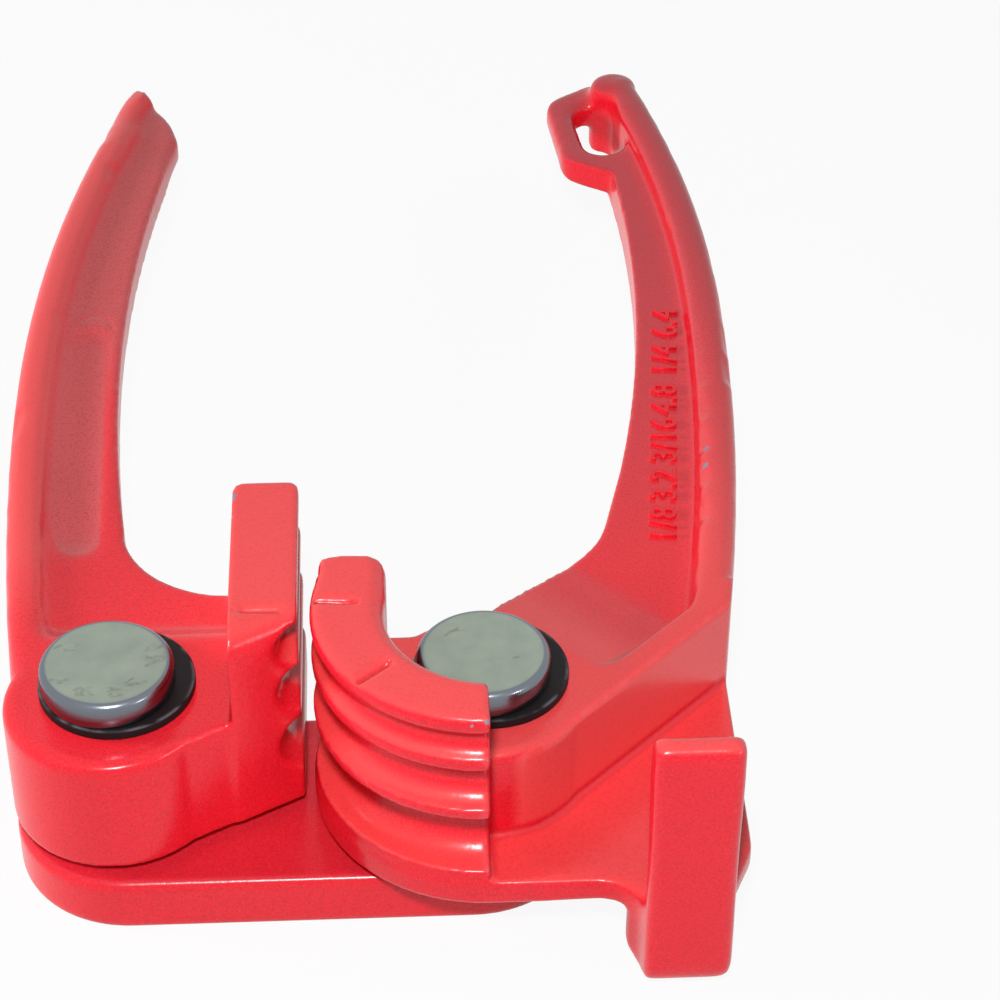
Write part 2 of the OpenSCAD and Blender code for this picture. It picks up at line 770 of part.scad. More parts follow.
// Web of the shoe handle where it spreads to the hub and the shoe, seen mirrored
module shoe_shoulder() {
    edge = inner_x(shoe_arm, throat_y);
    foot = -(shoe_face - shoe_t / 2);
    difference() {
        polygon([
            [foot, 0],
            [shoe_hub_r / 2, 0],
            rib_mid(shoe_arm, shoe_hub_r),
            rib_mid(shoe_arm, throat_y),
            [edge, throat_y],
            [edge - throat_r, throat_y],
            [edge - throat_r, throat_y - throat_r],
            [foot, throat_y - throat_r]
        ]);
        translate([edge - throat_r, throat_y]) circle(r = throat_r);
    }
}

// Waste beyond the rounded nose of the shoe handle, seen mirrored
module shoe_nose() {
    run = shoe_reach - shoe_straight_from;
    turn = rib_angle(shoe_arm, shoe_straight_from);
    tip = [outer_x(shoe_arm, shoe_straight_from) - run * tan(turn), shoe_reach];
    middle = tip + shoe_nose_r * [sin(shoe_nose_slope), -cos(shoe_nose_slope)];
    translate([middle[0], middle[1], 0]) linear_extrude(wide) difference() {
        translate([-wide, 0]) square(wide);
        circle(r = shoe_nose_r, $fn = fine_fn);
    }
}

// Pocket in the shoe handle: its floor slopes down from the hub and then runs level, seen mirrored
module shoe_pocket() {
    from = shoe_pocket_from;
    floor_z = hub_top - shoe_pocket_depth;
    side = [for (y = [throat_y, shoe_arm_y, (shoe_arm_y + shoe_reach) / 2, shoe_reach])
        concat(rib_mid(shoe_arm, y), 0)];
    intersection() {
        translate([0, 0, floor_z]) linear_extrude(wide) outline(concat(
            [[-wide, from, 0], concat(rib_mid(shoe_arm, from), shoe_pocket_corner)],
            side,
            [[side[3][0], 2 * wide, 0], [-wide, 2 * wide, 0]]
        ));
        rotate([90, 0, 90]) translate([0, 0, -wide]) linear_extrude(2 * wide) polygon([
            [from, hub_top],
            [from + shoe_pocket_slope_l, floor_z],
            [3 * wide, floor_z],
            [3 * wide, hub_top + past],
            [from, hub_top + past]
        ]);
    }
}

// Finger recess: a shallow slot with round ends, seen mirrored
module shoe_recess() {
    translate([shoe_arm_x - recess_in, recess_from, hub_top - shoe_pocket_depth - recess_depth])
        rotate(-recess_lean) linear_extrude(wide) {
            circle(d = recess_w);
            translate([-recess_w / 2, 0]) square([recess_w, recess_l]);
            translate([0, recess_l]) circle(d = recess_w);
        }
}

// Shoe handle: hub, grooved shoe and ribbed arm in one casting
module shoe_handle() color(red) {
    web_base = hub_top - web_t;
    translate(shoe_at) difference() {
        union() {
            turned(0, shoe_hub_r, casting_base, hub_top, hub_edge);
            shoe_bridge();
            shoe();
            mirror([1, 0, 0]) difference() {
                union() {
                    difference() {
                        translate([0, 0, web_base]) linear_extrude(web_t) {
                            arm_plan(shoe_arm, throat_y - past, shoe_reach);
                            shoe_shoulder();
                        }
                        shoe_pocket();
                        shoe_recess();
                    }
                    rib(shoe_arm, rib_w / 2, shoe_straight_from, web_base - rib_drop, hub_top);
                    straight_rib(shoe_arm, shoe_straight_from, shoe_reach, web_base - rib_drop, hub_top);
                }
                shoe_nose();
            }
        }
        pivot_bore();
    }
}

module former_pin() translate(former_at) pivot_pin();
module shoe_pin() translate(shoe_at) pivot_pin();
module former_top_washer() translate(former_at) top_washer();
module shoe_top_washer() translate(shoe_at) top_washer();
module former_thrust_washer() translate(former_at) thrust_washer();
module shoe_thrust_washer() translate(shoe_at) thrust_washer();

link_plate();
former_handle();
shoe_handle();
former_pin();
shoe_pin();
former_top_washer();
shoe_top_washer();
former_thrust_washer();
shoe_thrust_washer();
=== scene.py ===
"""Looks of a hand bender for brake pipe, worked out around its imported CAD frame.

The castings are the CAD solids with cast edges: a closed skin is drawn over each one and relaxed.
Pins and washers are profiles turned round their pivots. All lengths in this file are millimetres,
and MM turns them into the frame's metres. Scales of noise are in cells per metre.
"""

import json
import math

import bmesh
import bpy
import numpy as np
from mathutils import Matrix, Vector


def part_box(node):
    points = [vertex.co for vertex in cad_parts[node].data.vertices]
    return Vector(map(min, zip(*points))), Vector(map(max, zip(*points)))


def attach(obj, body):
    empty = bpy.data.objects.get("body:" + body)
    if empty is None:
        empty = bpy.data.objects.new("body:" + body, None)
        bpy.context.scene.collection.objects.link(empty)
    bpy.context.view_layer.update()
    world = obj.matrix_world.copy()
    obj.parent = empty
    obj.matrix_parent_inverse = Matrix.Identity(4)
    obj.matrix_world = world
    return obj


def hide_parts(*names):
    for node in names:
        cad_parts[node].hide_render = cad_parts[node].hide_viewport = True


MM = 0.001
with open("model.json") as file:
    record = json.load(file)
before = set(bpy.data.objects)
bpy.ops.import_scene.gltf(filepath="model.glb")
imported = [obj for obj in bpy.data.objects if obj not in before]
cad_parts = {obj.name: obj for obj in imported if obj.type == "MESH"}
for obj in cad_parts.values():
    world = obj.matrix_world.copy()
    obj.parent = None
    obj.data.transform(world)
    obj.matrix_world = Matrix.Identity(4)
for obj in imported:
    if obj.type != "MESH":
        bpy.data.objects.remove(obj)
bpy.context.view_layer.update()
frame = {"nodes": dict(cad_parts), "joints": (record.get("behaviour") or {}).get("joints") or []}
scene = bpy.context.scene

# Middle of each pivot, from the frame's joints
PIVOTS = {joint["name"]: np.array(joint["pos_m"][:2]) / MM for joint in frame["joints"]}

# Corners closer than this are joined: in the CAD's loose triangles, in turned pieces and in letters
CAD_JOIN = 0.002
TURNED_JOIN = 0.0001
LETTER_JOIN = 0.001

# A casting's skin: the size of its squares, and about how many triangles are left of it at most
VOXEL = 0.26
CAST_TRIANGLES = 190000
# Rounds of relaxing for all edges, rounds for each filling of a handle's inner corners, where handles begin
EDGE_ROUNDS = 5
FILL_ROUNDS = 6
HANDLE_FROM = 12.0
# How steeply soft places and chips fade towards their radius
SOFT_GAIN = 1.6
CHIP_GAIN = 1.4
# How the skin's bend is evened out and scaled
BEND_ROUNDS = 4
BEND_GAIN = 2

# A pressed mark's section: its steep far side, its gentle near side, and its reach above and below its line
MARK_STEEP = 0.14
MARK_GENTLE = 0.7
MARK_REACH = 1.0
# How far round a mark the skin is split, and the least sinking that counts
MARK_SPLIT = 1.0
MARK_LEAST = 0.002

# Painted light and shade on the paint: how pale a level place is from a painted reflection, how dull or deep
# from a painted dim reflection and painted shade, how a wall gleams from a painted highlight, and how much
# painted shade inner corners take
SHADES = ("pale", "dull", "deep", "gleam", "corner_shade_share")


# Mesh helpers

def mesh_arrays(mesh):
    """Corners of a mesh in millimetres, its edges and its corner normals, as arrays."""
    points = np.empty(len(mesh.vertices) * 3)
    mesh.vertices.foreach_get("co", points)
    edges = np.empty(len(mesh.edges) * 2, np.int64)
    mesh.edges.foreach_get("vertices", edges)
    normals = np.empty(len(mesh.vertices) * 3, np.float32)
    mesh.vertex_normals.foreach_get("vector", normals)
    return points.reshape(-1, 3) / MM, edges.reshape(-1, 2), normals.reshape(-1, 3).astype(float)


def set_points(mesh, points):
    """Moves a mesh's corners to places in millimetres."""
    mesh.vertices.foreach_set("co", (points * MM).ravel())
    mesh.update()


def set_attribute(mesh, name, values):
    layer = mesh.attributes.new(name, "FLOAT", "POINT")
    layer.data.foreach_set("value", np.asarray(values, np.float32))


def smooth_faces(mesh):
    mesh.polygons.foreach_set("use_smooth", np.ones(len(mesh.polygons), bool))
    mesh.update()


def evaluated(piece):
    """The mesh that an object's modifiers or letters make; the object itself is taken away."""
    scene.collection.objects.link(piece)
    bpy.context.view_layer.update()
    mesh = bpy.data.meshes.new_from_object(piece.evaluated_get(bpy.context.evaluated_depsgraph_get()))
    bpy.data.objects.remove(piece)
    return mesh


def linked(name, data):
    """A new object in the scene, from a mesh, a lamp or a camera."""
    piece = bpy.data.objects.new(name, data)
    scene.collection.objects.link(piece)
    return piece


def node_box(node):
    """Lowest and highest corner of a CAD node, in millimetres."""
    return (np.array(corner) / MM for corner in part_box(node))


def ramp(value, low, high):
    """0 up to low, 1 from high, and an even rise between them. With low above high it falls instead."""
    return np.clip((value - low) / (high - low), 0, 1)


def fading(points, place, radius, gain):
    """min(1, gain (1 - d / radius)) at distance d from a place, and 0 past the radius."""
    away = np.linalg.norm(points - place, axis=1)
    return np.clip(gain * (1 - away / radius), 0, 1)


# Castings

def merged_copy(node):
    """A copy of a CAD node's mesh with its loose triangles joined at their corners."""
    mesh = frame["nodes"][node].data.copy()
    work = bmesh.new()
    work.from_mesh(mesh)
    bmesh.ops.remove_doubles(work, verts=work.verts, dist=CAD_JOIN * MM)
    work.to_mesh(mesh)
    work.free()
    mesh.materials.clear()
    return mesh


def skin(node):
    """A closed skin of small squares over a CAD node."""
    shell = bpy.data.objects.new(node + "_skin", merged_copy(node))
    remesh = shell.modifiers.new("skin", "REMESH")
    remesh.mode = "VOXEL"
    remesh.voxel_size = VOXEL * MM
    remesh.adaptivity = 0
    return evaluated(shell)


def edge_count(edges, corners):
    """Number of edges at each corner."""
    return np.bincount(edges.ravel(), minlength=corners).astype(float)


def neighbour_mean(values, edges, count):
    """Each corner's value becomes the plain mean of the values at the other ends of its edges."""
    here, there = edges.T
    total = np.empty_like(values)
    for k in range(values.shape[1]):
        total[:, k] = np.bincount(here, values[there, k], len(values))
        total[:, k] += np.bincount(there, values[here, k], len(values))
    return total / count[:, None]


def relaxed(points, edges, count, rounds, share=1.0):
    """In each round, each corner moves half way to the mean of its neighbours, times its own share."""
    half = 0.5 * np.reshape(share, (-1, 1))
    for _ in range(rounds):
        points = points + half * (neighbour_mean(points, edges, count) - points)
    return points


def filled(points, edges, count, normals):
    """In each round, a handle's corners that lie below the mean of their neighbours rise half way to it."""
    for _ in range(FILL_ROUNDS):
        move = 0.5 * (neighbour_mean(points, edges, count) - points)
        rising = ((move * normals).sum(1) > 0) & (points[:, 1] > HANDLE_FROM)
        points = points + move * rising[:, None]
    return points


def cast_form(mesh, fill, soft, shifts):
    """Gives a skin the form of a casting. Relaxing it rounds its edges, and filling it, a number of times,
    fills the inner corners of a handle's ribs. Each soft place (place, radius, rounds) is relaxed further,
    less towards its radius. Each shift (place, radius, step) moves the skin by (1 - (d / radius)^2)^2 of its
    step at distance d from its place."""
    points, edges, _ = mesh_arrays(mesh)
    count = edge_count(edges, len(points))
    points = relaxed(points, edges, count, EDGE_ROUNDS)
    for _ in range(fill):
        set_points(mesh, points)
        points = filled(points, edges, count, mesh_arrays(mesh)[2])
    for place, radius, rounds in soft:
        points = relaxed(points, edges, count, rounds, fading(points, place, radius, SOFT_GAIN))
    for place, radius, step in shifts:
        away = np.linalg.norm(points - place, axis=1)
        points = points + np.outer(np.clip(1 - (away / radius) ** 2, 0, 1) ** 2, step)
    set_points(mesh, relaxed(points, edges, count, 1))


def line_distance(points, start, stop):
    """Distance of each point from the straight line between two places."""
    run = np.subtract(stop, start)
    share = np.clip((points - start) @ run / (run @ run), 0, 1)
    return np.linalg.norm(points - start - share[:, None] * run, axis=1)


def mark_depth(points, start, stop):
    """Depth of a mark along a line, from 0 to 1. At distance s across the line it is exp(-(s / MARK_STEEP)^2)
    on the far side, and falls evenly to 0 at MARK_GENTLE on the near side. At e past the line's ends it falls
    by exp(-(e / MARK_STEEP)^2), and at MARK_REACH above or below the line it ends."""
    run = np.subtract(stop, start)
    length = np.linalg.norm(run)
    rel = points - start
    along = rel @ run / length
    across = (rel[:, 1] * run[0] - rel[:, 0] * run[1]) / length
    past = np.maximum(np.maximum(-along, along - length), 0)
    steep = np.exp(-(across / MARK_STEEP) ** 2)
    gentle = np.clip(1 - across / MARK_GENTLE, 0, 1)
    shape = np.where(across < 0, steep, gentle)
    return shape * np.exp(-(past / MARK_STEEP) ** 2) * (np.abs(rel[:, 2]) < MARK_REACH)


def cut_marks(mesh, marks):
    """Narrow marks pressed into a skin's level top. Each mark is a run of places and a depth: the squares
    near the lines between its places are split in four, and their corners sink by its depth times the deepest
    of its lines there."""
    work = bmesh.new()
    work.from_mesh(mesh)
    for places, _ in marks:
        work.to_mesh(mesh)
        points, edges, _ = mesh_arrays(mesh)
        near = np.min([line_distance(points, *line) for line in zip(places, places[1:])], 0) < MARK_SPLIT
        chosen = np.flatnonzero(near[edges].all(1)).tolist()
        work.edges.ensure_lookup_table()
        bmesh.ops.subdivide_edges(work, edges=[work.edges[k] for k in chosen], cuts=1, use_grid_fill=True)
    work.to_mesh(mesh)
    work.free()
    points = mesh_arrays(mesh)[0]
    for places, depth in marks:
        sink = depth * np.max([mark_depth(points, *line) for line in zip(places, places[1:])], 0)
        points[:, 2] -= np.where(sink > MARK_LEAST, sink, 0)
    set_points(mesh, points)


def paint_attributes(mesh, chips, shade):
    """What the paint reads at each corner. Attribute edge is the bend of the skin, above 0 on outer edges and
    below 0 in inner corners. Attribute chip is 1 in the middle of each chip (place, radius) and fades to 0 at
    its radius. The attributes in SHADES come from the shade function, and are 0 where it names none."""
    points, edges, normals = mesh_arrays(mesh)
    count = edge_count(edges, len(points))
    rise = points - neighbour_mean(points, edges, count)
    bend = (rise * normals).sum(1, keepdims=True) / VOXEL ** 2
    for _ in range(BEND_ROUNDS):
        bend = 0.5 * bend + 0.5 * neighbour_mean(bend, edges, count)
    set_attribute(mesh, "edge", np.clip(BEND_GAIN * bend[:, 0], -1, 1))
    chip = np.zeros(len(points))
    for place, radius in chips:
        chip = np.maximum(chip, fading(points, place, radius, CHIP_GAIN))
    set_attribute(mesh, "chip", chip)
    shades = shade(*points.T)
    for name in SHADES:
        set_attribute(mesh, name, np.zeros(len(points)) + shades.get(name, 0.0))


def thinned(name, mesh):
    """The same surface with fewer triangles where it is flatter."""
    dense = bpy.data.objects.new(name, mesh)
    thin = dense.modifiers.new("thin", "DECIMATE")
    thin.ratio = min(1.0, CAST_TRIANGLES / (2 * len(mesh.polygons)))
    return evaluated(dense)


def casting(node, body, shade, fill=0, soft=(), shifts=(), marks=(), chips=()):
    """A painted casting: a skin over the CAD node with rounded edges, filled inner corners, pressed marks and
    the attributes of its paint."""
    mesh = skin(node)
    cast_form(mesh, fill, soft, shifts)
    cut_marks(mesh, marks)
    paint_attributes(mesh, chips, shade)
    mesh = thinned(node + "_dense", mesh)
    smooth_faces(mesh)
    piece = linked(node + "_cast", mesh)
    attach(piece, body)
    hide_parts(node)
    return piece


# Painted light and shade on the three castings

# Heights: the flange lies below the first, and the former's and the shoe's tops lie above the second
FLANGE_BELOW = 13
LIPS_ABOVE = 24


def plate_shade(x, y, z):
    """Painted shade on the plate's top, drawn with the deep red."""
    return {"deep": 0.7, "corner_shade_share": 1.0}


def former_shade(x, y, z):
    """A painted reflection makes the lips' tops, the hub and the rib pale, and the flange and the web less
    pale; a painted dim reflection and painted shade make them duller and deeper towards the handle's tip. A
    painted highlight makes the slanting wall beside the hub and the hub's side next to it gleam: they lie
    above the flange, below the hub's top and past the line x - y = 30."""
    web_z, rib_z = 18.4, 19.4
    flange_z, hub_z = 10.4, 20.4
    hub_x, handle_x, post_y = 17.9, 44, -14.5
    rib = ramp(z, web_z, rib_z) * (1 - 0.8 * ramp(y, 25, 60))
    below_lips = np.where(z < FLANGE_BELOW, 0.75, 0.2 + 0.8 * rib)
    towards_tip = ramp(y, 18, 80) * (z < LIPS_ABOVE)
    wall_height = ramp(z, flange_z, flange_z + 0.6) * (z < hub_z)
    wall_length = ramp(x, hub_x, hub_x + 1.1) * (x < handle_x) * (y > post_y)
    return {
        "pale": np.where(z > LIPS_ABOVE, 1.0, below_lips),
        "dull": 0.6 * towards_tip,
        "deep": 0.8 * towards_tip,
        "gleam": ramp(x - y, 29.5, 30.3) * wall_height * wall_length,
        "corner_shade_share": 1.0,
    }


def shoe_shade(x, y, z):
    """A painted reflection makes the shoe's top and the rib pale, the red stays full round the finger recess,
    and a painted dim reflection makes the recess, the web beside it and past it dull. The recess starts with
    a round end and follows a leaning middle line. Inner corners take painted shade at its far end, and hardly
    elsewhere."""
    start_x, start_y, lean = -22.4, 25.0, 0.0418
    half_width, end_r_squared = 2.3, 5.3
    end_x, end_y, end_r = -23.9, 61.0, 4
    rib = ramp(z, 19.0, 19.6) * ramp(y, 6, 22)
    middle = start_x - lean * (y - start_y)
    round_end = np.sqrt(np.maximum(0, end_r_squared - (x - middle) ** 2))
    begun = ramp(y - start_y + round_end, -0.2, 0.5)
    outward = half_width + 2.5 * ramp(y, start_y, 38)
    across = ramp(x - middle, 2.4, 2.0) * ramp(middle - x, outward + 0.4, outward)
    recess = across * ramp(z, 19.0, 18.5) * begun
    past = ramp(z, 19.2, 18.8) * ramp(y, 46, 64)
    far_end = (np.hypot(x - end_x, y - end_y) < end_r) & (y > 58)
    return {
        "pale": np.where(z > LIPS_ABOVE, 1.0, np.maximum(0.15, rib)),
        "dull": np.maximum(recess, past),
        "corner_shade_share": np.where(far_end, 1.0, 0.1),
    }


# Turned pieces

def rounded_profile(corners, steps=8):
    """Points of a half section: straight runs between corners (radius, height, rounding), where a rounding
    above 0 puts an arc that touches both runs in place of the corner."""
    corners = np.asarray(corners, float)
    points = [corners[:1, :2]]
    for before, here, after in zip(corners[:-2], corners[1:-1], corners[2:]):
        back, ahead = before[:2] - here[:2], after[:2] - here[:2]
        back, ahead = back / np.linalg.norm(back), ahead / np.linalg.norm(ahead)
        if here[2] == 0:
            points.append(here[None, :2])
            continue
        half = math.acos(np.clip(back @ ahead, -1, 1)) / 2
        middle = (back + ahead) / np.linalg.norm(back + ahead)
        centre = here[:2] + middle * here[2] / math.sin(half)
        start = here[:2] + back * here[2] / math.tan(half) - centre
        stop = here[:2] + ahead * here[2] / math.tan(half) - centre
        sweep = math.pi - 2 * half
        t = np.linspace(0, 1, steps + 1)[:, None]
        points.append(centre + (np.sin((1 - t) * sweep) * start + np.sin(t * sweep) * stop) / math.sin(sweep))
    points.append(corners[-1:, :2])
    return np.concatenate(points)


def turned(name, profile, pivot, turns, closed):
    """A profile (radius r, height z) turned round a pivot: corner (i, j) is
    (px + r_i cos a_j, py + r_i sin a_j, z_i) with a_j running once round.
    A closed profile joins its last point to its first, an open one starts and ends on the axis."""
    angle = np.linspace(0, 2 * math.pi, turns, endpoint=False)
    r, z = profile.T
    grid = np.stack([pivot[0] + r[:, None] * np.cos(angle), pivot[1] + r[:, None] * np.sin(angle),
                     z[:, None] + 0 * angle], 2)
    rows = len(profile) if closed else len(profile) - 1
    i, j = (k.ravel() for k in np.meshgrid(np.arange(rows), np.arange(turns), indexing="ij"))
    nxt = (i + 1) % len(profile)
    side = (j + 1) % turns
    faces = np.stack([i * turns + j, i * turns + side, nxt * turns + side, nxt * turns + j], 1)
    mesh = bpy.data.meshes.new(name)
    mesh.from_pydata((grid.reshape(-1, 3) * MM).tolist(), [], faces.tolist())
    work = bmesh.new()
    work.from_mesh(mesh)
    bmesh.ops.remove_doubles(work, verts=work.verts, dist=TURNED_JOIN * MM)
    bmesh.ops.dissolve_degenerate(work, edges=work.edges, dist=TURNED_JOIN * MM / 10)
    bmesh.ops.recalc_face_normals(work, faces=work.faces)
    work.to_mesh(mesh)
    work.free()
    smooth_faces(mesh)
    return linked(name, mesh)


def stroke_depth(xy, strokes):
    """Depth of scuffs on a flat top: for each stroke (x, y, length, angle, width) the depth is
    1 on its middle line and falls with the square of the distance to 0 at its width."""
    depth = np.zeros(len(xy))
    for x, y, length, angle, width in strokes:
        u = np.array([math.cos(angle), math.sin(angle)])
        rel = xy - (x, y)
        along = np.clip(rel @ u, -length / 2, length / 2)
        away = np.linalg.norm(rel - along[:, None] * u, axis=1)
        depth = np.maximum(depth, np.clip(1 - (away / width) ** 2, 0, 1))
    return depth


def pin(node, pivot, strokes):
    """A pivot pin: flush riveted tail, plain shank and a flat button head with a rounded rim, all one turned
    profile, with shallow scuffs pressed into the head's top. Attribute mark is the scuffs' depth, and
    attribute rim is 0 on the flat top and 1 elsewhere."""
    tail_r, tail_h, shank_r, head_h = 4.6, 1.2, 4.0, 3.0
    scuff_depth, top_rings, turns = 0.03, 56, 180
    low, high = node_box(node)
    top_z = high[2]
    base_z = top_z - head_h
    head_r = (high[0] - low[0]) / 2
    body = rounded_profile([(0, 0, 0), (tail_r, 0, 0.15), (shank_r, tail_h, 0), (shank_r, base_z, 0),
                            (head_r - 0.2, base_z, 0.5), (head_r, base_z + 1.1, 1.0), (head_r, top_z, 0.7),
                            (head_r - 0.8, top_z, 0)])
    flat = np.linspace(head_r - 0.85, 0, top_rings)
    top = np.stack([flat, np.full(flat.shape, top_z)], 1)
    piece = turned(node + "_turned", np.concatenate([body, top]), pivot, turns, False)
    points, _, _ = mesh_arrays(piece.data)
    xy = points[:, :2] - pivot
    is_top = points[:, 2] > top_z - 0.001
    mark = stroke_depth(xy, strokes) * is_top
    points[:, 2] -= scuff_depth * mark
    set_points(piece.data, points)
    set_attribute(piece.data, "mark", mark)
    reach = np.linalg.norm(xy, axis=1)
    set_attribute(piece.data, "rim", np.where(is_top, ramp(reach, head_r - 0.75, head_r - 0.55), 1))
    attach(piece, "link")
    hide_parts(node)
    return piece


def washer(node):
    """A pressed washer: a flat ring with small roundings, one closed profile turned round its middle.
    Attribute edge is 1 on the top of the outer rim's rounding."""
    soft, steps, turns = 0.18, 4, 144
    low, high = node_box(node)
    base_z, top_z = low[2], high[2]
    middle = (low + high)[:2] / 2
    solid, _, _ = mesh_arrays(frame["nodes"][node].data)
    inner = np.linalg.norm(solid[:, :2] - middle, axis=1).min()
    outer = (high[0] - low[0]) / 2
    halfway = (inner + outer) / 2
    rim = outer - 0.4
    below = [(halfway, base_z, 0), (rim, base_z, 0), (outer, base_z, soft)]
    above = [(outer, top_z, soft), (rim, top_z, 0), (inner, top_z, soft)]
    back = [(inner, base_z, soft), (halfway, base_z, 0)]
    ring = rounded_profile(below + above + back, steps)[:-1]
    piece = turned(node + "_turned", ring, middle, turns, True)
    points, _, _ = mesh_arrays(piece.data)
    reach = np.linalg.norm(points[:, :2] - middle, axis=1)
    outward = ramp(reach, outer - 0.3, outer - 0.1)
    upward = ramp(points[:, 2], top_z - 0.15, top_z)
    set_attribute(piece.data, "edge", outward * upward)
    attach(piece, "link")
    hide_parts(node)
    return piece


# Cast numbers

def letter_mesh(word, height, rise):
    """A word's letters, centred, with small bevels. They are 0.2 thicker than they rise above the web."""
    letters = bpy.data.curves.new("letters", "FONT")
    letters.body = word
    letters.size = 1.4 * height
    letters.space_character = 1.12
    letters.extrude = rise / 2 + 0.1
    letters.bevel_depth = 0.05
    letters.bevel_resolution = 1
    letters.align_x = "CENTER"
    letters.align_y = "CENTER"
    return evaluated(bpy.data.objects.new("letters", letters))


def cast_numbers(words, height, start, stop, base, rise):
    """Raised numbers on the handle's web, set along the line from start to stop: each word stands at its
    share of the line and reads along it, and its faces stand a little above the web."""
    along = np.subtract(stop, start)
    lean = math.atan2(along[1], along[0])
    work = bmesh.new()
    for word, share in words:
        mesh = letter_mesh(word, height, rise)
        x, y = start + share * along
        place = Matrix.Translation((x, y, base + rise / 2 - 0.1)) @ Matrix.Rotation(lean, 4, "Z")
        mesh.transform(Matrix.Scale(MM, 4) @ place)
        work.from_mesh(mesh)
    bmesh.ops.remove_doubles(work, verts=work.verts, dist=LETTER_JOIN * MM)
    bmesh.ops.triangulate(work, faces=work.faces)
    bmesh.ops.recalc_face_normals(work, faces=work.faces)
    joined = bpy.data.meshes.new("web_numbers")
    work.to_mesh(joined)
    work.free()
    set_attribute(joined, "edge", np.full(len(joined.vertices), 0.15))
    for name in ("chip", *SHADES):
        set_attribute(joined, name, np.zeros(len(joined.vertices)))
    piece = linked("web_numbers", joined)
    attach(piece, "former_lever")
    return piece


# Materials

# Paint: its plain colour, a painted reflection, a painted dim reflection and painted shade on level places,
# its specks, painted shade in inner corners, rubbed edges with a painted edge highlight, and primer
RED = (0.81, 0.009, 0.024, 1)
# Painted reflection, painted dim reflection with painted shade, and painted shade, on level places
PAINTED_REFLECTION_RED = (0.88, 0.070, 0.073, 1)
DIM_REFLECTION_RED = (0.70, 0.082, 0.088, 1)
PAINTED_SHADE_RED = (0.56, 0.022, 0.038, 1)
PALE_SPECK = (0.84, 0.085, 0.085, 1)
DARK_SPECK = (0.56, 0.008, 0.026, 1)
# Painted shade in inner corners, and rubbed paint with a painted edge highlight on outer edges
CORNER_SHADE_RED = (0.50, 0.006, 0.018, 1)
RUBBED_AND_SHEEN_RED = (0.84, 0.16, 0.19, 1)
PRIMER = (0.26, 0.23, 0.31, 1)
# Zinc: both colours of its clouded top, its rim and its scuffs
ZINC_LOW = (0.25, 0.30, 0.25, 1)
ZINC_HIGH = (0.36, 0.41, 0.35, 1)
ZINC_RIM = (0.18, 0.20, 0.23, 1)
ZINC_SCUFF = (0.15, 0.14, 0.11, 1)
# Washers: black oxide, and the steel where it is rubbed
OXIDE = (0.012, 0.010, 0.011, 1)
BARE_STEEL = (0.40, 0.39, 0.42, 1)


class Finish:
    """A material's node tree with short calls for the nodes used here."""

    def __init__(self, name):
        self.material = bpy.data.materials.new(name)
        self.material.use_nodes = True
        self.tree = self.material.node_tree
        self.shader = self.tree.nodes["Principled BSDF"]
        self.coordinates = self.node("ShaderNodeTexCoord")

    def node(self, kind, **settings):
        made = self.tree.nodes.new(kind)
        for key, value in settings.items():
            setattr(made, key, value)
        return made

    def join(self, source, target):
        if isinstance(source, (int, float, tuple)):
            target.default_value = source
        else:
            self.tree.links.new(source, target)

    def noise(self, scale, detail):
        made = self.node("ShaderNodeTexNoise")
        made.inputs["Scale"].default_value = scale
        made.inputs["Detail"].default_value = detail
        self.join(self.coordinates.outputs["Object"], made.inputs["Vector"])
        return made.outputs["Fac"]

    def attribute(self, name):
        return self.node("ShaderNodeAttribute", attribute_name=name).outputs["Fac"]

    def upward(self):
        """How far a surface faces up, on its own body."""
        made = self.node("ShaderNodeSeparateXYZ")
        self.join(self.coordinates.outputs["Normal"], made.inputs[0])
        return made.outputs["Z"]

    def ranged(self, value, low, high, to_low=0.0, to_high=1.0):
        made = self.node("ShaderNodeMapRange", interpolation_type="SMOOTHSTEP")
        for k, v in enumerate((value, low, high, to_low, to_high)):
            self.join(v, made.inputs[k])
        return made.outputs["Result"]

    def maths(self, operation, a, b):
        made = self.node("ShaderNodeMath", operation=operation)
        self.join(a, made.inputs[0])
        self.join(b, made.inputs[1])
        return made.outputs["Value"]

    def times(self, a, b):
        return self.maths("MULTIPLY", a, b)

    def mixed(self, share, a, b):
        made = self.node("ShaderNodeMix", data_type="RGBA")
        self.join(share, made.inputs[0])
        self.join(a, made.inputs[6])
        self.join(b, made.inputs[7])
        return made.outputs[2]

    def bump(self, height, distance, strength):
        made = self.node("ShaderNodeBump")
        made.inputs["Distance"].default_value = distance * MM
        made.inputs["Strength"].default_value = strength
        self.join(height, made.inputs["Height"])
        self.join(made.outputs["Normal"], self.shader.inputs["Normal"])

    def set(self, **values):
        for key, value in values.items():
            self.join(value, self.shader.inputs[key.replace("_", " ")])


